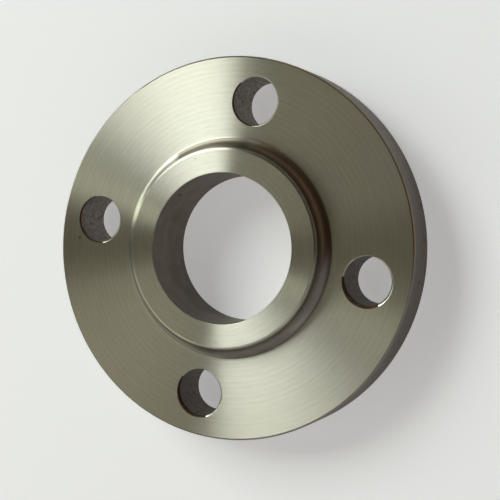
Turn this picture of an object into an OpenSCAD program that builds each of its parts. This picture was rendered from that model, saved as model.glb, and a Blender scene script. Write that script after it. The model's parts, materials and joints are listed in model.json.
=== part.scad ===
// Slip-on pipe flange, turned from one forging and drilled.
// It lies on its raised gasket face with the hub up and the bore along +Z.
// The origin is the centre of the gasket face. All sizes are in millimetres.

/* [Disc] */
// Outside diameter of the disc
disc_d = 127; // [118:0.5:170]
// Thickness of the disc between its back face and its hub-side face
disc_t = 16.5; // [10:0.5:40]
// Bevel on the two outer edges of the disc
disc_bevel = 0.6; // [0.2:0.1:2]

/* [Hub] */
// Outside diameter of the hub
hub_d = 66.5; // [58:0.5:73]
// Height of the hub above the disc
hub_h = 5.5; // [5:0.5:30]
// Radius of the round on the outer edge of the hub
hub_edge_r = 1.1; // [0.3:0.1:2]
// Radius of the fillet where the hub meets the disc, as far as the hub's wall is tall enough
hub_fillet_r = 4; // [1:0.1:4.2]

/* [Raised face] */
// Diameter of the raised gasket face
raised_face_d = 73; // [60:0.5:80]
// Height of the raised face above the back of the disc
raised_face_h = 1.6; // [1.5:0.1:7]
// Bevel on the outer edge of the raised face
raised_face_bevel = 0.3; // [0.1:0.1:0.6]
// Radius in the corner between the raised face and the back of the disc
raised_face_root_r = 0.6; // [0.2:0.1:0.8]

/* [Bore] */
// Diameter of the bore, which slips over the end of the pipe
bore_d = 49.5; // [30:0.1:60]
// Bevel on the two edges of the bore
bore_bevel = 0.2; // [0.1:0.1:0.9]

/* [Bolt holes] */
// Number of bolt holes
bolt_count = 4; // [4:4:12]
// Diameter of the circle through the centres of the bolt holes
bolt_circle_d = 98.4; // [90:0.1:108]
// Diameter of each bolt hole
bolt_hole_d = 15.7; // [10:0.1:17]
// Bevel on the two edges of each bolt hole
bolt_hole_bevel = 0.4; // [0.1:0.1:1]

/* [Hidden] */
$fn = 192;

// Pale warm grey of turned stainless steel
steel = [0.66, 0.65, 0.58];
// How far a cut runs past the face it breaks through, and a fillet into its walls
overlap = 1;
// Straight wall left on the hub between its fillet and its rounded edge
least_wall = 0.2;

disc_r = disc_d / 2;
hub_r = hub_d / 2;
raised_face_r = raised_face_d / 2;
bore_r = bore_d / 2;
bolt_hole_r = bolt_hole_d / 2;
fillet_r = min(hub_fillet_r, hub_h - hub_edge_r - least_wall);

// Heights of the back of the disc, its hub-side face and the end of the hub
back_z = raised_face_h;
front_z = back_z + disc_t;
top_z = front_z + hub_h;

// The holes straddle the centre lines, as on piping in service
first_hole_angle = 180 / bolt_count;

// Straight-sided outline of the turned section, radius along X and height along Y
module turned_outline() {
    polygon([
        [bore_r + bore_bevel, 0],
        [raised_face_r - raised_face_bevel, 0],
        [raised_face_r, raised_face_bevel],
        [raised_face_r, back_z],
        [disc_r - disc_bevel, back_z],
        [disc_r, back_z + disc_bevel],
        [disc_r, front_z - disc_bevel],
        [disc_r - disc_bevel, front_z],
        [hub_r, front_z],
        [hub_r, top_z],
        [bore_r + bore_bevel, top_z],
        [bore_r, top_z - bore_bevel],
        [bore_r, bore_bevel]
    ]);
}

// Metal left in an inside corner, whose walls run along +X and +Y from the origin
module fillet(r) {
    difference() {
        translate([-overlap, -overlap]) square(r + overlap);
        translate([r, r]) circle(r);
    }
}

// Metal taken off an outside corner, whose walls run along -X and -Y from the origin
module edge_round(r) {
    difference() {
        translate([-r, -r]) square(r + overlap);
        translate([-r, -r]) circle(r);
    }
}

// Half section of the turned piece, with its fillets and its rounded hub edge
module turned_section() {
    difference() {
        union() {
            turned_outline();
            translate([hub_r, front_z]) fillet(fillet_r);
            translate([raised_face_r, back_z]) mirror([0, 1]) fillet(raised_face_root_r);
        }
        translate([hub_r, top_z]) edge_round(hub_edge_r);
    }
}

// Cone that breaks one edge of a bolt hole, widening along +Z from the hole's wall
module hole_bevel() {
    reach = bolt_hole_bevel + overlap;
    cylinder(h = reach, r1 = bolt_hole_r, r2 = bolt_hole_r + reach);
}

// One bolt hole through the disc, bevelled at both ends
module bolt_hole() {
    translate([0, 0, back_z - overlap]) cylinder(h = disc_t + 2 * overlap, r = bolt_hole_r);
    translate([0, 0, front_z - bolt_hole_bevel]) hole_bevel();
    translate([0, 0, back_z + bolt_hole_bevel]) mirror([0, 0, 1]) hole_bevel();
}

// All bolt holes, evenly spaced on their circle
module bolt_holes() {
    for (i = [0 : bolt_count - 1]) {
        rotate(first_hole_angle + i * 360 / bolt_count)
            translate([bolt_circle_d / 2, 0, 0])
                bolt_hole();
    }
}

// The whole flange: the turned piece with its bolt holes
module flange() {
    color(steel)
        difference() {
            rotate_extrude() turned_section();
            bolt_holes();
        }
}

flange();
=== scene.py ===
# Looks of the slip-on pipe flange: one turned and drilled steel piece in a plain studio.
import json
import math
from itertools import cycle

import bpy
from mathutils import Matrix, Vector
from mathutils.geometry import tessellate_polygon


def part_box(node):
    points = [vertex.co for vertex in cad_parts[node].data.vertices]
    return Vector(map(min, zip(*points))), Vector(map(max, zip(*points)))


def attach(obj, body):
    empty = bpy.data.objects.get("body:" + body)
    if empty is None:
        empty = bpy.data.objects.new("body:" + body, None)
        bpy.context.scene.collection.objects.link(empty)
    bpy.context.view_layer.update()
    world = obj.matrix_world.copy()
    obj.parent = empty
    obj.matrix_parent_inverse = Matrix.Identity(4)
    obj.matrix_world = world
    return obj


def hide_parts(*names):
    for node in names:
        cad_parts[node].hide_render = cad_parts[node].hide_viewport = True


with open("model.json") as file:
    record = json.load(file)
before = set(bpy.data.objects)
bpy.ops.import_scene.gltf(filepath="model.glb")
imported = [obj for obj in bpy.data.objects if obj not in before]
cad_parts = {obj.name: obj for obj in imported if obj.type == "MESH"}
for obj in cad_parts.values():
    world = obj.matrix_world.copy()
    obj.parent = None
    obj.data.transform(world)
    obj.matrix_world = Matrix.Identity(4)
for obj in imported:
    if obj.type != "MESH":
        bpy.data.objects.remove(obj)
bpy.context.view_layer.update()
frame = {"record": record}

MM = 0.001

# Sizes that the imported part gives, in metres
_, flange_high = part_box("flange")
mounts = {mount["name"]: mount["dims"] for mount in frame["record"]["mounts"]}
DISC_R = flange_high.x
TOP_Z = flange_high.z
BORE_R = mounts["bore"]["r_mm"] * MM
BORE_BEVEL = (TOP_Z - mounts["bore"]["length_mm"] * MM) / 2
BOLT_COUNT = mounts["bolts"]["count"]
BOLT_CIRCLE_R = mounts["bolts"]["pcd_mm"] * MM / 2
HOLE_R = mounts["bolts"]["hole_r_mm"] * MM

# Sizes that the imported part's record doesn't hold
BACK_Z = 1.6 * MM
FRONT_Z = 18.1 * MM
DISC_BEVEL = 0.6 * MM
HOLE_BEVEL = 0.4 * MM
HUB_R = 33.25 * MM
HUB_EDGE_R = 1.1 * MM
HUB_FILLET_R = 4 * MM
RAISED_R = 36.5 * MM
RAISED_BEVEL = 0.3 * MM
RAISED_ROOT_R = 0.6 * MM

# Front edges of the bolt holes, broken by hand, in the order of the holes.
# The bevel has a size and a shift off the hole's centre, towards the photograph's foot.
# Its painted brown shade has a start and an end, in degrees round the hole in the photograph,
# and a drop, which is how far it runs down the wall at its middle.
HOLE_EDGES = [
    dict(size=0.4 * MM, shift=0.1 * MM, shade=(130, 262), drop=0.4 * MM),
    dict(size=0.4 * MM, shift=0.15 * MM, shade=(100, 278), drop=0.4 * MM),
    dict(size=0.45 * MM, shift=0.2 * MM, shade=(140, 285), drop=1.3 * MM),
    dict(size=0.6 * MM, shift=0.35 * MM, shade=(170, 295), drop=1.6 * MM),
]
# How far the painted shade runs down the wall at its ends
LEAST_DROP = 0.1 * MM
# Slope of those edges from the face, and how far their shading leans to either side, in degrees
BREAK_SLOPE = 36
BREAK_LEAN = 14

# Slopes of the outline: degrees by which a surface's normal stands above straight outward
OUT = 0
UP = 90
IN = 180
DOWN = -90
OUT_UP = 45
IN_UP = 135
IN_DOWN = 225
OUT_DOWN = -45
# How far a bevel's shading leans to the faces beside it
BEVEL_LEAN = 25
# Slope at which the fillet's finish takes over from the face's
FILLET_FOOT = 80
# Slope at which the face's finish takes over from that of the hub's rounded edge
LIP_HEAD = 50

# Fineness of the meshes
ROUND_STEPS = 384
HOLE_STEPS = 128
ARC_STEPS = 12
FLOOR_STEPS = 128

# Finishes, in the order of the piece's material slots
# The last finish is painted brown shade on the bolt holes' edges.
TURNED, FILLET, LIP, EDGE, RIM, BORED, DRILLED, GASKET, SHADED = range(9)

# Colours of the steel, paler and deeper
STEEL = (0.66, 0.64, 0.555, 1)
STEEL_DEEP = (0.58, 0.56, 0.48, 1)
STEEL_STAIN = (0.52, 0.48, 0.39, 1)
LIP_PALE = (0.44, 0.42, 0.355, 1)
LIP_DEEP = (0.38, 0.355, 0.295, 1)
FILLET_PALE = (0.35, 0.33, 0.295, 1)
FILLET_DEEP = (0.28, 0.26, 0.225, 1)
# Painted brown reflection, painted shade, painted highlight and more painted shade, for stretches of the
# fillet and the disc's edges
FILLET_BROWN_REFLECTION = (0.38, 0.283, 0.192, 1)
FILLET_SHADE_TOP = (0.172, 0.151, 0.117, 1)
FILLET_HIGHLIGHT = (0.58, 0.56, 0.485, 1)
FILLET_SHADE_LOW = (0.225, 0.208, 0.178, 1)
RIM_PALE = (0.275, 0.243, 0.217, 1)
RIM_DEEP = (0.205, 0.178, 0.157, 1)
BORE_PALE = (0.36, 0.318, 0.272, 1)
BORE_DEEP = (0.275, 0.238, 0.198, 1)
HOLE_PALE = (0.56, 0.515, 0.485, 1)
HOLE_DEEP = (0.32, 0.287, 0.265, 1)
# Painted shade on the walls of the bolt holes towards one side
HOLE_SHADE = (0.13, 0.112, 0.1, 1)
# Painted brown shade on the bolt holes' edges, paler and deeper
SHADE_PALE = (0.125, 0.066, 0.034, 1)
SHADE_DEEP = (0.055, 0.028, 0.014, 1)
PIT = (0.035, 0.028, 0.022, 1)
SPECK = (0.3, 0.27, 0.21, 1)

# Stretches of painted shade, painted highlight and painted reflection laid over a finish, by degrees
# round the axis in the photograph.
# Each is full as far as one angle to either side of its middle and fades out by a wider one.
# Its share is how much of its colour shows where it is full.
# Painted brown reflection at 36 degrees, painted shade at 99 and 226, painted highlight at 144
FILLET_STRETCHES = [
    dict(middle=36, full=32, end=47, share=1.0, colour=FILLET_BROWN_REFLECTION),
    dict(middle=99, full=20, end=25, share=1.0, colour=FILLET_SHADE_TOP),
    dict(middle=144, full=20, end=25, share=1.0, colour=FILLET_HIGHLIGHT),
    dict(middle=226, full=26, end=38, share=1.0, colour=FILLET_SHADE_LOW),
]
# Painted shade on the walls of the holes that lie towards 303 degrees
HOLE_STRETCHES = [
    dict(middle=303, full=60, end=75, share=0.5, colour=HOLE_SHADE),
]

# Pits and specks: millimetres between their places, their radius, and how many places hold one
FACE_SPECKS = dict(apart=9.0, radius=0.7, share=0.3)
RIM_PITS = dict(apart=2.6, radius=0.9, share=0.16)
BORE_PITS = dict(apart=4.5, radius=1.1, share=0.2)
HOLE_PITS = dict(apart=2.4, radius=0.7, share=0.2)
# Size of the smallest speck, as a part of the largest
LEAST_SPECK = 0.4
# How far out a speck's colour is full, as a part of its radius
SPECK_HEART = 0.6
# How many bends a speck's edge has along one radius
SPECK_BENDS = 1.5

# Pitch of the waves that facing left on the turned faces, in millimetres
FACING_PITCH = 1.75
# Slope at which the tool marks on the turned faces lean towards the axis, a millimetre from it
MARK_LEAN = 0.0009
# Where the turned faces start to darken and where that ends, in millimetres from the axis
DARKER_FROM = 40
DARKER_TO = 62
# How much of the darker colour shows there
DARKER_SHARE = 0.3
# Pitch of the grooves on the gasket face, in millimetres
GROOVE_PITCH = 0.8
# Depths of the tool lines, of the dull surfaces' pits and of the gasket face's grooves
LINE_DEPTH = 0.002 * MM
PIT_DEPTH = 0.06 * MM
GROOVE_DEPTH = 0.04 * MM
# Height of the dull surfaces' grain, as a part of a pit's depth
GRAIN_HEIGHT = 0.3
# Range that noise mostly keeps to
NOISE_LOW = 0.3
NOISE_HIGH = 0.7
# Turn that stretches the gloss across the tool lines, as a part of a full one
ACROSS = 0.25

# Camera, fitted to the photograph
IMAGE_SIDE = 500
FOCAL_PIXELS = 1116.07
SENSOR = 36.0
VIEW_TURN = math.radians(-33.158)
VIEW_SWING = math.radians(22.682)
VIEW_TILT = math.radians(-0.588)
# Camera's place in the photograph's axes, right, up and off the disc's hub-side face
VIEW_PLACE = Vector((149.3, 3.24, 337.4)) * MM

# Studio, in metres
PANEL_DISTANCE = 1.8
FLOOR_R = 2.2
FLOOR_DROP = 0.1 * MM
# Floor's colour, and how much it is lifted for the camera and for reflections
FLOOR_COLOUR = (0.85, 0.85, 0.85, 1)
FLOOR_LIFT = 0.35
FLOOR_GLINT = 0.12
WHITE = (1, 1, 1, 1)
# Light from all round, and the backdrop that the camera sees
AMBIENT = (0.016, 0.011, 0.008, 1)
BACKDROP = (0.64, 0.64, 0.64, 1)
# How much of the backdrop reflections see at the horizon, and the height where that ends
GLOW_SHARE = 0.28
GLOW_TOP = math.sin(math.radians(24))


def picture_turn():
    """Turns the photograph's axes, right, up and along the bore, into the frame's."""
    return Matrix.Rotation(VIEW_TURN, 3, "Z")


def picture_way(degrees):
    """Direction in the frame of an angle round the axis in the photograph."""
    angle = math.radians(degrees)
    return picture_turn() @ Vector((math.cos(angle), math.sin(angle), 0))


def lean(degrees):
    """Outward and upward part of a normal that stands this far above straight outward."""
    return (math.cos(math.radians(degrees)), math.sin(math.radians(degrees)))


def tilted(tilt, step, count):
    """A normal's outward and upward part, turned to one step round a ring."""
    angle = 2 * math.pi * step / count
    return (tilt[0] * math.cos(angle), tilt[0] * math.sin(angle), tilt[1])


class Shell:
    """Points, faces, finishes and shading normals of one mesh."""

    def __init__(self):
        self.points = []
        self.faces = []
        self.finishes = []
        self.normals = []

    def point(self, centre, radius, angle, z):
        """Adds a point by its place round a centre and returns its number."""
        x = centre[0] + radius * math.cos(angle)
        y = centre[1] + radius * math.sin(angle)
        self.points.append((x, y, z))
        return len(self.points) - 1

    def ring(self, centre, radius, z, count):
        """Adds a circle of points and returns their numbers."""
        return [self.point(centre, radius, 2 * math.pi * step / count, z) for step in range(count)]

    def face(self, corners, normals, finish):
        self.faces.append(corners)
        self.normals.extend(normals)
        self.finishes.append(finish)

    def band(self, start, end, start_tilt, end_tilt, finish):
        """Joins two rings with quads of one finish, or of one each from a list.

        A tilt is the shading normal's outward and upward part.
        """
        count = len(start)
        finishes = finish if isinstance(finish, list) else [finish] * count
        for i in range(count):
            j = (i + 1) % count
            normals = [
                tilted(start_tilt, i, count),
                tilted(start_tilt, i + 1, count),
                tilted(end_tilt, i + 1, count),
                tilted(end_tilt, i, count),
            ]
            self.face((start[i], start[j], end[j], end[i]), normals, finishes[i])

    def fill(self, loops, up, finish):
        """Fills the space between an outer ring and the rings inside it; up is 1 or -1."""
        numbers = [number for loop in loops for number in loop]
        outlines = [[Vector(self.points[number]) for number in loop] for loop in loops]
        for triangle in tessellate_polygon(outlines):
            corners = [numbers[i] for i in triangle]
            a, b, c = (Vector(self.points[number]) for number in corners)
            if (b - a).cross(c - a).z * up < 0:
                corners.reverse()
            self.face(tuple(corners), [(0, 0, up)] * 3, finish)

    def weld(self, doubled, kept):
        """Lets the faces on a doubled ring use the ring that lies in the same place."""
        same = dict(zip(doubled, kept))
        gone = set(doubled)
        new_number = {}
        points = []
        for number, point in enumerate(self.points):
            if number not in gone:
                new_number[number] = len(points)
                points.append(point)
        self.points = points
        self.faces = [tuple(new_number[same.get(n, n)] for n in face) for face in self.faces]

    def mesh(self, name):
        made = bpy.data.meshes.new(name)
        made.from_pydata(self.points, [], self.faces)
        made.polygons.foreach_set("material_index", self.finishes)
        made.polygons.foreach_set("use_smooth", [True] * len(self.faces))
        made.normals_split_custom_set(self.normals)
        made.update()
        return made


def bevel_leans(degrees):
    """Normals at the two edges of a bevel of this slope."""
    return lean(degrees - BEVEL_LEAN), lean(degrees + BEVEL_LEAN)


def straight(start, end, degrees, finish):
    """One stroke of the turned outline with a single slope."""
    return [(start, lean(degrees)), (end, lean(degrees))], finish


def bevel(start, end, degrees, finish):
    """One stroke across a small bevel."""
    first, last = bevel_leans(degrees)
    return [(start, first), (end, last)], finish


def arc(centre, radius, start, end, finish, hollow=False):
    """One stroke along a round; the angles are those of the surface's normal."""
    side = -1 if hollow else 1
    stroke = []
    for step in range(ARC_STEPS + 1):
        degrees = start + (end - start) * step / ARC_STEPS
        out, up = lean(degrees)
        point = (centre[0] + side * radius * out, centre[1] + side * radius * up)
        stroke.append((point, (out, up)))
    return stroke, finish


def add_stroke(shell, stroke, finish, first_ring=None):
    """Turns a stroke about the axis; returns its last ring."""
    (r, z), tilt = stroke[0]
    ring = first_ring or shell.ring((0, 0), r, z, ROUND_STEPS)
    for (next_r, next_z), next_tilt in stroke[1:]:
        next_ring = shell.ring((0, 0), next_r, next_z, ROUND_STEPS)
        shell.band(ring, next_ring, tilt, next_tilt, finish)
        ring = next_ring
        tilt = next_tilt
    return ring


def add_strokes(shell, strokes):
    """Turns a run of joined strokes; returns its first and last ring."""
    first = len(shell.points)
    ring = None
    for stroke, finish in strokes:
        ring = add_stroke(shell, stroke, finish, ring)
    return list(range(first, first + ROUND_STEPS)), ring


def back_strokes():
    """Turned outline from the bore's lower edge to the back of the disc."""
    root = (RAISED_R + RAISED_ROOT_R, BACK_Z - RAISED_ROOT_R)
    inner = (BORE_R + BORE_BEVEL, 0)
    edge = (RAISED_R - RAISED_BEVEL, 0)
    side = (RAISED_R, RAISED_BEVEL)
    return [
        straight(inner, edge, DOWN, GASKET),
        bevel(edge, side, OUT_DOWN, EDGE),
        straight(side, (RAISED_R, root[1]), OUT, TURNED),
        arc(root, RAISED_ROOT_R, OUT, DOWN, TURNED, hollow=True),
    ]


def rim_strokes():
    """Turned outline round the edge of the disc, from its back to its front."""
    back = (DISC_R - DISC_BEVEL, BACK_Z)
    low = (DISC_R, BACK_Z + DISC_BEVEL)
    high = (DISC_R, FRONT_Z - DISC_BEVEL)
    front = (DISC_R - DISC_BEVEL, FRONT_Z)
    return [
        bevel(back, low, OUT_DOWN, FILLET),
        straight(low, high, OUT, RIM),
        bevel(high, front, OUT_UP, FILLET),
    ]


def hub_strokes():
    """Turned outline from the front of the disc over the hub and down the bore."""
    fillet = (HUB_R + HUB_FILLET_R, FRONT_Z + HUB_FILLET_R)
    edge = (HUB_R - HUB_EDGE_R, TOP_Z - HUB_EDGE_R)
    mouth = (BORE_R + BORE_BEVEL, TOP_Z)
    upper = (BORE_R, TOP_Z - BORE_BEVEL)
    lower = (BORE_R, BORE_BEVEL)
    end = (BORE_R + BORE_BEVEL, 0)
    return [
        arc(fillet, HUB_FILLET_R, UP, FILLET_FOOT, TURNED, hollow=True),
        arc(fillet, HUB_FILLET_R, FILLET_FOOT, OUT, FILLET, hollow=True),
        straight((HUB_R, fillet[1]), (HUB_R, edge[1]), OUT, LIP),
        arc(edge, HUB_EDGE_R, OUT, LIP_HEAD, LIP),
        arc(edge, HUB_EDGE_R, LIP_HEAD, UP, TURNED),
        straight((edge[0], TOP_Z), mouth, UP, TURNED),
        bevel(mouth, upper, IN_UP, EDGE),
        straight(upper, lower, IN, BORED),
        bevel(lower, end, IN_DOWN, EDGE),
    ]


def hole_centres():
    """Centres of the bolt holes, which straddle the X and Y axes."""
    for i in range(BOLT_COUNT):
        angle = 2 * math.pi * (i + 0.5) / BOLT_COUNT
        yield BOLT_CIRCLE_R * math.cos(angle), BOLT_CIRCLE_R * math.sin(angle)


def shade_part(step, shade):
    """Place of a step round a hole along the hole's painted shade, from 0 at its start to 1 at its end.
    """
    start, end = shade
    angle = 360 * step / HOLE_STEPS - math.degrees(VIEW_TURN)
    return (angle % 360 - start) / (end - start)


def shade_drop(step, shade, drop):
    """How far the painted shade runs down the wall at a step round a hole."""
    part = min(max(shade_part(step, shade), 0), 1)
    return LEAST_DROP + (drop - LEAST_DROP) * math.sin(math.pi * part)


def shaded_arc(shade, clean):
    """Finishes round a hole's mouth: painted brown shade from its start to its end, and the clean finish
    elsewhere.
    """
    parts = [shade_part(step + 0.5, shade) for step in range(HOLE_STEPS)]
    return [SHADED if 0 < part < 1 else clean for part in parts]


def hole_mouth(shell, centre, size, shift, shade, drop):
    """Rings of a hole's front bevel, wider towards the photograph's foot, and of the foot of its painted
    shade.
    """
    off = picture_turn() @ Vector((0, -shift, 0))
    wide = HOLE_R + size
    outer = []
    inner = []
    foot = []
    for step in range(HOLE_STEPS):
        angle = 2 * math.pi * step / HOLE_STEPS
        drift = off.x * math.cos(angle) + off.y * math.sin(angle)
        reach = drift + math.sqrt(wide ** 2 - shift ** 2 + drift ** 2)
        depth = (reach - HOLE_R) * math.tan(math.radians(BREAK_SLOPE))
        outer.append(shell.point(centre, reach, angle, FRONT_Z))
        inner.append(shell.point(centre, HOLE_R, angle, FRONT_Z - depth))
        depth += shade_drop(step, shade, drop)
        foot.append(shell.point(centre, HOLE_R, angle, FRONT_Z - depth))
    return outer, inner, foot


def add_hole(shell, centre, edge):
    """Wall and bevels of one bolt hole; returns its rings on the front and on the back."""
    break_first = lean(UP + BREAK_SLOPE - BREAK_LEAN)
    break_last = lean(UP + BREAK_SLOPE + BREAK_LEAN)
    bevel_first, bevel_last = bevel_leans(IN_DOWN)
    wall = lean(IN)
    front, upper, foot = hole_mouth(shell, centre, **edge)
    lower = shell.ring(centre, HOLE_R, BACK_Z + HOLE_BEVEL, HOLE_STEPS)
    back = shell.ring(centre, HOLE_R + HOLE_BEVEL, BACK_Z, HOLE_STEPS)
    # The bevel and the top of the wall carry painted brown shade from the start to the end given for the
    # hole.
    shell.band(front, upper, break_first, break_last, shaded_arc(edge["shade"], EDGE))
    shell.band(upper, foot, wall, wall, shaded_arc(edge["shade"], DRILLED))
    shell.band(foot, lower, wall, wall, DRILLED)
    shell.band(lower, back, bevel_first, bevel_last, EDGE)
    return front, back


def add_holes(shell):
    """All bolt holes; returns their rings on the front and those on the back."""
    fronts = []
    backs = []
    for centre, edge in zip(hole_centres(), cycle(HOLE_EDGES)):
        front, back = add_hole(shell, centre, edge)
        fronts.append(front)
        backs.append(back)
    return fronts, backs


def flange_mesh():
    """The whole flange as one closed mesh."""
    shell = Shell()
    front_holes, back_holes = add_holes(shell)
    bore_end, back_inner = add_strokes(shell, back_strokes())
    back_outer, front_outer = add_strokes(shell, rim_strokes())
    front_inner, bore_last = add_strokes(shell, hub_strokes())
    shell.fill([back_outer, back_inner] + back_holes, -1, TURNED)
    shell.fill([front_outer, front_inner] + front_holes, 1, TURNED)
    shell.weld(bore_last, bore_end)
    return shell.mesh("slip_on_flange")


class Nodes:
    """A node tree in the making."""

    def __init__(self, tree):
        self.tree = tree

    def put(self, socket, value):
        """Links a socket to another or sets its value."""
        if isinstance(value, bpy.types.NodeSocket):
            self.tree.links.new(value, socket)
        else:
            socket.default_value = value

    def node(self, kind, inputs, **settings):
        """Adds a node; its inputs go by name or number."""
        made = self.tree.nodes.new("ShaderNode" + kind)
        for key, value in settings.items():
            setattr(made, key, value)
        for key, value in inputs.items():
            self.put(made.inputs[key], value)
        return made

    def math(self, operation, a, b=0.0, c=0.0):
        return self.node("Math", {0: a, 1: b, 2: c}, operation=operation).outputs[0]

    def vector(self, operation, inputs):
        return self.node("VectorMath", inputs, operation=operation).outputs[0]

    def spread(self, value, low, high, to_low, to_high):
        """Maps a value from one range to another, held at the ends."""
        inputs = {"Value": value, "From Min": low, "From Max": high, "To Min": to_low, "To Max": to_high}
        return self.node("MapRange", inputs).outputs[0]

    def share(self, value, low, high):
        """0 at the low value and 1 at the high one, held at the ends."""
        return self.spread(value, low, high, 0.0, 1.0)

    def weigh(self, *parts):
        """Sum of values, each given with its weight."""
        (value, weight), *others = parts
        total = self.math("MULTIPLY", value, weight)
        for value, weight in others:
            total = self.math("MULTIPLY_ADD", value, weight, total)
        return total


class Paint(Nodes):
    """One node material in the making."""

    def __init__(self, name):
        self.material = bpy.data.materials.new(name)
        self.material.use_nodes = True
        super().__init__(self.material.node_tree)
        self.shader = self.tree.nodes["Principled BSDF"]

    def mix(self, factor, a, b):
        """Mixes two colours; the factor is the second one's part."""
        return self.node("Mix", {0: factor, 6: a, 7: b}, data_type="RGBA").outputs[2]

    def place(self):
        """Place on the piece, in millimetres."""
        coordinates = self.node("TexCoord", {}).outputs["Object"]
        return self.vector("SCALE", {0: coordinates, "Scale": 1 / MM})

    def outward(self, place):
        """Way from the axis straight out to the place, in millimetres."""
        return self.vector("MULTIPLY", {0: place, 1: (1, 1, 0)})

    def way(self, place):
        """Direction from the axis to the place."""
        return self.vector("NORMALIZE", {0: self.outward(place)})

    def away(self, place):
        """Distance from the axis, in millimetres."""
        inputs = {0: self.outward(place)}
        return self.node("VectorMath", inputs, operation="LENGTH").outputs["Value"]

    def along(self, place):
        """Millimetres along the turned outline: the distance from the axis and the height together."""
        z = self.node("SeparateXYZ", {0: place}).outputs[2]
        return self.math("ADD", self.away(place), z)

    def stretch(self, base, place, middle, full, end, share, colour):
        """Lays a stretch's colour over another one, by the place's direction from the axis."""
        inputs = {0: self.way(place), 1: picture_way(middle)}
        near = self.node("VectorMath", inputs, operation="DOT_PRODUCT").outputs["Value"]
        near_end = math.cos(math.radians(end))
        near_full = math.cos(math.radians(full))
        return self.mix(self.spread(near, near_end, near_full, 0.0, share), base, colour)

    def ripple(self, along, pitch):
        """An even wave along the outline, from 0 to 1."""
        wave = self.math("SINE", self.math("MULTIPLY", along, 2 * math.pi / pitch))
        return self.math("MULTIPLY_ADD", wave, 0.5, 0.5)

    def lines(self, along, per_mm):
        """Tool lines: a value that changes along the outline only."""
        inputs = {"W": along, "Scale": per_mm, "Detail": 1.0, "Roughness": 0.6}
        return self.node("TexNoise", inputs, noise_dimensions="1D").outputs[0]

    def streaks(self, place, along, per_mm, round_steps):
        """Tool lines that break off: noise stretched round the axis."""
        wide = self.vector("SCALE", {0: self.way(place), "Scale": round_steps})
        tall = self.node("CombineXYZ", {2: self.math("MULTIPLY", along, per_mm)}).outputs[0]
        where = self.vector("ADD", {0: wide, 1: tall})
        return self.clouds(where, per_mm=1.0, detail=1.0)

    def clouds(self, place, per_mm, detail=3.0):
        """Soft uneven noise."""
        inputs = {"Vector": place, "Scale": per_mm, "Detail": detail}
        return self.node("TexNoise", inputs).outputs[0]

    def specks(self, place, apart, radius, share):
        """Small specks of uneven size, 1 inside and 0 outside; share is how many places hold one."""
        bends = {"Vector": place, "Scale": SPECK_BENDS / radius}
        wobble = self.node("TexNoise", bends).outputs["Color"]
        moved = self.vector("MULTIPLY_ADD", {0: wobble, 1: (radius,) * 3, 2: place})
        cells = self.node("TexVoronoi", {"Vector": moved, "Scale": 1 / apart})
        pick, size, _ = self.node("SeparateColor", {0: cells.outputs["Color"]}).outputs
        largest = radius / apart
        reach = self.spread(size, 0.0, 1.0, LEAST_SPECK * largest, largest)
        out = self.math("DIVIDE", cells.outputs["Distance"], reach)
        inside = self.share(out, low=1.0, high=SPECK_HEART)
        return self.math("MULTIPLY", inside, self.math("LESS_THAN", pick, share))

    def leant(self, place, slope):
        """Normal of a turned face whose tool marks lean towards the axis, more so near the rim."""
        normal = self.node("NewGeometry", {}).outputs["Normal"]
        moved = self.vector("MULTIPLY_ADD", {0: self.outward(place), 1: (-slope,) * 3, 2: normal})
        return self.vector("NORMALIZE", {0: moved})

    def bump(self, height, depth, strength, normal=None):
        """Normal of a surface with a relief; a height of 1 stands the depth above one of 0."""
        inputs = {"Height": height, "Strength": strength, "Distance": depth}
        if normal is not None:
            inputs["Normal"] = normal
        return self.node("Bump", inputs).outputs[0]

    def round_tangent(self):
        """Direction of the tool lines, round the axis."""
        return self.node("Tangent", {}, direction_type="RADIAL", axis="Z").outputs[0]

    def finish(self, **sockets):
        """Sets the shader's sockets, named with underscores for spaces, and returns the material."""
        for key, value in sockets.items():
            self.put(self.shader.inputs[key.replace("_", " ")], value)
        return self.material


def turned_steel():
    """Bright turned faces: fine concentric lines that stretch the gloss across them."""
    paint = Paint("turned_steel")
    place = paint.place()
    along = paint.along(place)
    wave = paint.ripple(along, FACING_PITCH)
    fine = paint.lines(along, per_mm=1.3)
    broken = paint.streaks(place, along, per_mm=1.2, round_steps=9.0)
    tone = paint.weigh((fine, 0.7), (wave, 0.2), (broken, 0.9))
    colour = paint.mix(paint.share(tone, low=0.55, high=1.25), STEEL_DEEP, STEEL)
    darker = paint.spread(paint.away(place), DARKER_FROM, DARKER_TO, 0.0, DARKER_SHARE)
    colour = paint.mix(darker, colour, STEEL_STAIN)
    colour = paint.mix(paint.specks(place, **FACE_SPECKS), colour, SPECK)
    cloud = paint.clouds(place, per_mm=0.05)
    return paint.finish(
        Base_Color=colour,
        Metallic=1.0,
        Roughness=paint.spread(cloud, NOISE_LOW, NOISE_HIGH, to_low=0.29, to_high=0.31),
        Anisotropic=1.0,
        Anisotropic_Rotation=ACROSS,
        Tangent=paint.round_tangent(),
        Normal=paint.bump(fine, LINE_DEPTH, strength=1.0, normal=paint.leant(place, MARK_LEAN)),
    )


def fillet_steel():
    """Fillet of the hub and edges of the disc: less clean than the faces, with stretches of painted
    shade, a painted highlight and a painted brown reflection round the axis.
    """
    paint = Paint("fillet_steel")
    place = paint.place()
    fine = paint.lines(paint.along(place), per_mm=2.0)
    tone = paint.math("ADD", fine, paint.clouds(place, per_mm=0.25))
    colour = paint.mix(paint.share(tone, low=0.7, high=1.3), FILLET_DEEP, FILLET_PALE)
    # Stretches of painted shade, painted highlight and painted reflection
    for stretch in FILLET_STRETCHES:
        colour = paint.stretch(colour, place, **stretch)
    return paint.finish(
        Base_Color=colour,
        Metallic=1.0,
        Roughness=0.31,
        Anisotropic=0.7,
        Anisotropic_Rotation=ACROSS,
        Tangent=paint.round_tangent(),
    )


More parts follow.
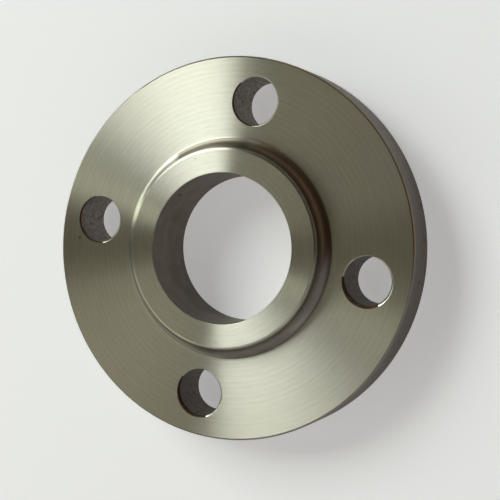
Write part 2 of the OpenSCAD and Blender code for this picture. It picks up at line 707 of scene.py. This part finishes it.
def lip_steel():
    """Wall and rounded edge of the hub."""
    paint = Paint("lip_steel")
    cloud = paint.clouds(paint.place(), per_mm=0.3)
    colour = paint.mix(paint.share(cloud, NOISE_LOW, NOISE_HIGH), LIP_DEEP, LIP_PALE)
    return paint.finish(
        Base_Color=colour,
        Metallic=1.0,
        Roughness=0.3,
        Anisotropic=0.8,
        Anisotropic_Rotation=ACROSS,
        Tangent=paint.round_tangent(),
    )


def edge_steel():
    """Edges broken by hand: bright steel without tool lines, a little stained."""
    paint = Paint("edge_steel")
    cloud = paint.clouds(paint.place(), per_mm=0.6)
    colour = paint.mix(paint.share(cloud, low=0.35, high=0.65), STEEL_STAIN, STEEL)
    rough = paint.spread(cloud, NOISE_LOW, NOISE_HIGH, to_low=0.34, to_high=0.28)
    return paint.finish(Base_Color=colour, Metallic=1.0, Roughness=rough)


def dull_steel(name, pale, deep, pits, cloud_per_mm, line_share, rough, stretches=()):
    """Dull cut surfaces: stained, with faint tool lines and small dark pits, and with stretches of
    painted shade where they are given.
    """
    paint = Paint(name)
    place = paint.place()
    cloud = paint.clouds(place, cloud_per_mm, detail=4.0)
    line = paint.lines(paint.along(place), per_mm=1.6)
    pit = paint.specks(place, **pits)
    tone = paint.weigh((cloud, 1 - line_share), (line, line_share))
    colour = paint.mix(paint.share(tone, low=0.36, high=0.64), deep, pale)
    # Stretches of painted shade, where given
    for stretch in stretches:
        colour = paint.stretch(colour, place, **stretch)
    height = paint.math("SUBTRACT", paint.math("MULTIPLY", tone, GRAIN_HEIGHT), pit)
    return paint.finish(
        Base_Color=paint.mix(pit, colour, PIT),
        Metallic=1.0,
        Roughness=rough,
        Normal=paint.bump(height, PIT_DEPTH, strength=0.5),
    )


def rim_steel():
    """Rim of the disc."""
    return dull_steel(
        "rim_steel", RIM_PALE, RIM_DEEP, RIM_PITS, cloud_per_mm=0.35, line_share=0.5, rough=0.5
    )


def bored_steel():
    """Wall of the bore."""
    return dull_steel(
        "bored_steel", BORE_PALE, BORE_DEEP, BORE_PITS, cloud_per_mm=0.16, line_share=0.25, rough=0.42
    )


def drilled_steel():
    """Walls of the bolt holes, with painted shade on those towards one side."""
    return dull_steel(
        "drilled_steel",
        HOLE_PALE,
        HOLE_DEEP,
        HOLE_PITS,
        cloud_per_mm=0.75,
        line_share=0.0,
        rough=0.46,
        # painted shade on the walls of some of the holes
        stretches=HOLE_STRETCHES,
    )


def gasket_steel():
    """Gasket face: concentric serrations, cut by the tool, and faint stains."""
    paint = Paint("gasket_steel")
    place = paint.place()
    groove = paint.ripple(paint.along(place), GROOVE_PITCH)
    tone = paint.weigh((groove, 0.5), (paint.clouds(place, per_mm=0.15), 0.5))
    colour = paint.mix(paint.share(tone, low=0.25, high=0.75), STEEL_STAIN, STEEL)
    return paint.finish(
        Base_Color=colour,
        Metallic=1.0,
        Roughness=0.36,
        Anisotropic=0.9,
        Anisotropic_Rotation=ACROSS,
        Tangent=paint.round_tangent(),
        Normal=paint.bump(groove, GROOVE_DEPTH, strength=0.6),
    )


def shaded_edge_steel():
    """Painted brown shade on stretches of the bolt holes' edges."""
    paint = Paint("shaded_edge_steel")
    cloud = paint.clouds(paint.place(), per_mm=1.2)
    colour = paint.mix(paint.share(cloud, low=0.35, high=0.65), SHADE_DEEP, SHADE_PALE)
    return paint.finish(Base_Color=colour, Roughness=0.7, Specular_IOR_Level=0.2)


def add_flange():
    """The flange, with a material for each finish."""
    mesh = flange_mesh()
    makers = (
        turned_steel,
        fillet_steel,
        lip_steel,
        edge_steel,
        rim_steel,
        bored_steel,
        drilled_steel,
        gasket_steel,
        shaded_edge_steel,
    )
    for maker in makers:
        mesh.materials.append(maker())
    flange = bpy.data.objects.new("slip_on_flange", mesh)
    bpy.context.scene.collection.objects.link(flange)
    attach(flange, "root")
    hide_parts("flange")


def add_camera():
    """Camera at the photograph's viewpoint."""
    data = bpy.data.cameras.new("camera")
    data.sensor_width = SENSOR
    data.lens = SENSOR * FOCAL_PIXELS / IMAGE_SIDE
    camera = bpy.data.objects.new("camera", data)
    swing = Matrix.Rotation(VIEW_SWING, 3, "Y")
    tilt = Matrix.Rotation(VIEW_TILT, 3, "X")
    turn = (picture_turn() @ swing @ tilt).to_4x4()
    place = picture_turn() @ VIEW_PLACE + Vector((0, 0, FRONT_Z))
    camera.matrix_world = Matrix.Translation(place) @ turn
    bpy.context.scene.collection.objects.link(camera)
    bpy.context.scene.camera = camera


def add_panel(name, aim, size, level, colour):
    """A soft light panel that faces the flange.

    The aim is the panel's azimuth, elevation and roll, in degrees in the photograph's axes. The size
    is its width and length in metres, and the level is how bright its surface is.
    """
    azimuth, elevation, roll = aim
    width, length = size
    data = bpy.data.lights.new(name, "AREA")
    data.shape = "RECTANGLE"
    data.size = width
    data.size_y = length
    data.color = colour
    data.energy = level * math.pi * width * length
    panel = bpy.data.objects.new(name, data)
    swing = Matrix.Rotation(math.radians(azimuth + 90), 3, "Z")
    tip = Matrix.Rotation(math.radians(90 - elevation), 3, "X")
    spin = Matrix.Rotation(math.radians(-roll), 3, "Z")
    turn = picture_turn() @ swing @ tip @ spin
    out = turn @ Vector((0, 0, 1))
    panel.matrix_world = Matrix.Translation(out * PANEL_DISTANCE) @ turn.to_4x4()
    panel.visible_camera = False
    bpy.context.scene.collection.objects.link(panel)


def add_lights():
    """Bright panels on the photograph's left, and dim ones on its right and below."""
    add_panel("key_panel", (137.4, 41.1, -47.1), (1.136, 0.777), level=6.3, colour=(0.933, 1, 0.96))
    add_panel("left_panel", (167.1, 25.2, 0), (0.21, 1.3), level=2.8, colour=(0.935, 1, 0.84))
    add_panel("top_panel", (187, 66.2, -21.2), (0.12, 0.42), level=1.36, colour=(1, 0.979, 0.732))
    add_panel("fill_panel", (209, 30.3, 0), (1.24, 1.19), level=0.91, colour=(1, 0.995, 0.87))
    add_panel("low_side_panel", (-92, 28, 0), (2.0, 2.0), level=0.29, colour=(1, 0.94, 0.92))
    add_panel("right_side_panel", (-41, 32, 0), (1.7, 1.6), level=0.3, colour=(1, 0.94, 0.92))
    add_panel("warm_panel", (38, 26, 0), (2.2, 1.6), level=0.035, colour=(1, 0.55, 0.25))
    add_panel("over_panel", (-62, 64, 0), (1.35, 0.75), level=0.16, colour=(1, 0.96, 0.9))


def add_world():
    """Dim surroundings; the camera sees a pale backdrop, and reflections its glow near the horizon."""
    world = bpy.data.worlds.new("studio")
    world.use_nodes = True
    bpy.context.scene.world = world
    nodes = Nodes(world.node_tree)
    way = nodes.node("TexCoord", {}).outputs["Generated"]
    height = nodes.node("SeparateXYZ", {0: way}).outputs[2]
    glow = nodes.spread(height, 0.0, GLOW_TOP, GLOW_SHARE, 0.0)
    rays = nodes.node("LightPath", {}).outputs
    share = nodes.math("MULTIPLY_ADD", rays["Is Glossy Ray"], glow, rays["Is Camera Ray"])
    light = world.node_tree.nodes["Background"]
    nodes.put(light.inputs["Color"], AMBIENT)
    seen = nodes.node("Background", {"Color": BACKDROP})
    inputs = {0: share, 1: light.outputs[0], 2: seen.outputs[0]}
    both = nodes.node("MixShader", inputs).outputs[0]
    nodes.put(world.node_tree.nodes["World Output"].inputs["Surface"], both)


def floor_paint():
    """Pale floor, lifted for the camera and for reflections only."""
    paint = Paint("floor_paint")
    rays = paint.node("LightPath", {}).outputs
    lift = paint.weigh((rays["Is Camera Ray"], FLOOR_LIFT), (rays["Is Glossy Ray"], FLOOR_GLINT))
    return paint.finish(
        Base_Color=FLOOR_COLOUR,
        Roughness=0.9,
        Emission_Color=WHITE,
        Emission_Strength=lift,
    )


def add_floor():
    """Round floor, a hair below the flange so that no two faces lie in one plane."""
    shell = Shell()
    ring = shell.ring((0, 0), FLOOR_R, -FLOOR_DROP, FLOOR_STEPS)
    shell.fill([ring], 1, 0)
    mesh = shell.mesh("floor")
    mesh.materials.append(floor_paint())
    floor = bpy.data.objects.new("floor", mesh)
    bpy.context.scene.collection.objects.link(floor)


add_flange()
add_camera()
add_lights()
add_world()
add_floor()
bpy.context.scene.view_settings.view_transform = "Standard"
